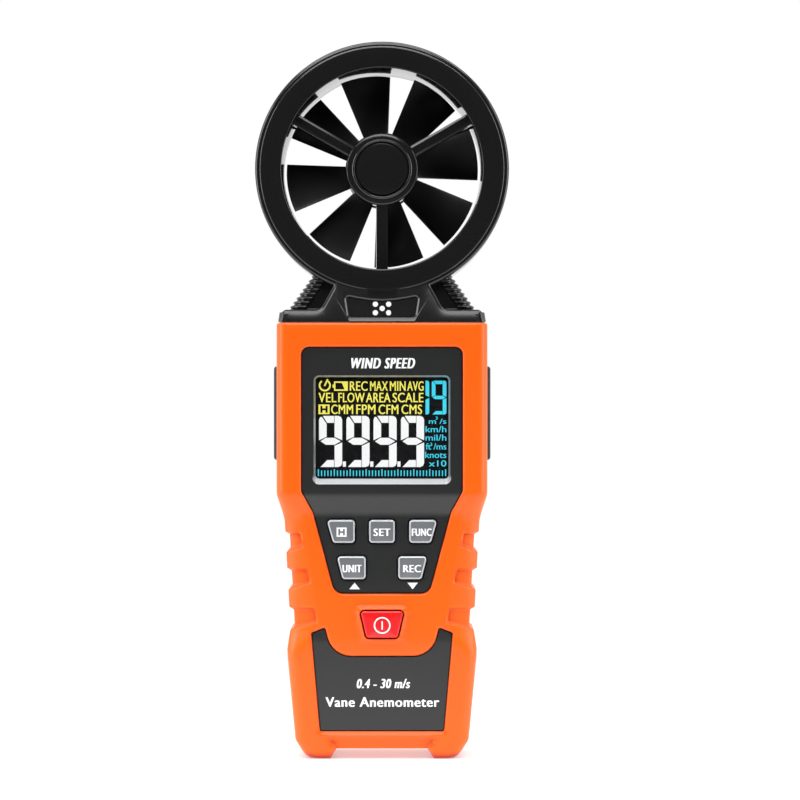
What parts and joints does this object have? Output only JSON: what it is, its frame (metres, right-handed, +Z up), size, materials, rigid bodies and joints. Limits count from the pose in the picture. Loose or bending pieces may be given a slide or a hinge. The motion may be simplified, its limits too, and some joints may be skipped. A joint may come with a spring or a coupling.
{
  "type": "vane anemometer",
  "caption": "Hand-held vane anemometer: a ducted bladed vane on a vented neck over a slim case with display, keys, soft bumper and rear battery door.",
  "frame": {"origin": "on the floor under the middle of the object's box, between its two feet", "axes": "+Z up along the case to the vane, -Y out of the display and through the vane's duct, +X to the right as one reads the display"},
  "size_m": [0.0652, 0.034, 0.1839],
  "materials": {
    "bumper": "satin soft-touch",
    "case_black": "fine moulded texture",
    "head_black": "satin gloss",
    "grip": "matt",
    "blade": "gloss",
    "key_grey": "metallic paint",
    "key_red": "satin gloss",
    "legend": "printed",
    "lens": "clear",
    "display": "gloss",
    "light_guide": "satin",
    "board": "solder mask",
    "chip": "satin",
    "lead": "satin",
    "silicone": "satin",
    "cell": "printed film",
    "magnet": "plated",
    "steel": "zinc plated"
  },
  "bodies": {
    "case": {"bumper_front": "bumper", "bumper_rear": "bumper", "body_front": "case_black", "body_rear": "case_black", "side_grip_left": "grip", "side_grip_right": "grip", "head_front": "head_black", "head_rear": "head_black", "hub_cap": "head_black", "front_bearing": "steel", "rear_bearing": "steel", "vane_sensor": "chip", "sensor_lead": "lead", "temperature_bead": "chip", "display_lens": "lens", "display_panel": "display", "back_light": "light_guide", "main_board": "board", "controller_chip": "chip", "buzzer": "chip", "key_mat": "silicone", "cell_1": "cell", "cell_2": "cell", "cell_3": "cell", "cell_contact_1": "steel", "cell_contact_2": "steel", "cell_contact_3": "steel", "cell_spring_1": "steel", "cell_spring_2": "steel", "cell_spring_3": "steel", "case_screw_1": "steel", "case_screw_2": "steel", "case_screw_3": "steel", "case_screw_4": "steel", "case_screw_5": "steel", "case_screw_6": "steel", "head_screw_1": "steel", "head_screw_2": "steel"},
    "vane": {"rotor": "blade", "rotor_shaft": "steel", "rotor_magnet": "magnet"},
    "hold_key": {"hold_key": "key_grey"},
    "set_key": {"set_key": "key_grey"},
    "func_key": {"func_key": "key_grey"},
    "unit_key": {"unit_key": "key_grey"},
    "rec_key": {"rec_key": "key_grey"},
    "power_key": {"power_key": "key_red"},
    "battery_door": {"battery_door": "case_black"}
  },
  "joints": [
    {"name": "vane_spin", "type": "hinge", "parent": "case", "child": "vane", "pos_m": [0, 0, 0.1513], "axis": [0, 1, 0], "continuous": true},
    {"name": "hold_key_press", "type": "slide", "parent": "case", "child": "hold_key", "axis": [0, 1, 0], "range_m": [0, 0.0008], "stiffness_N_per_m": 1500},
    {"name": "set_key_press", "type": "slide", "parent": "case", "child": "set_key", "axis": [0, 1, 0], "range_m": [0, 0.0008], "stiffness_N_per_m": 1500},
    {"name": "func_key_press", "type": "slide", "parent": "case", "child": "func_key", "axis": [0, 1, 0], "range_m": [0, 0.0008], "stiffness_N_per_m": 1500},
    {"name": "unit_key_press", "type": "slide", "parent": "case", "child": "unit_key", "axis": [0, 1, 0], "range_m": [0, 0.0008], "stiffness_N_per_m": 1500},
    {"name": "rec_key_press", "type": "slide", "parent": "case", "child": "rec_key", "axis": [0, 1, 0], "range_m": [0, 0.0008], "stiffness_N_per_m": 1500},
    {"name": "power_key_press", "type": "slide", "parent": "case", "child": "power_key", "axis": [0, 1, 0], "range_m": [0, 0.0008], "stiffness_N_per_m": 1500},
    {"name": "battery_door_hinge", "type": "hinge", "parent": "case", "child": "battery_door", "pos_m": [0, 0.0146, 0.0092], "axis": [-1, 0, 0], "range_deg": [0, 70]}
  ]
}
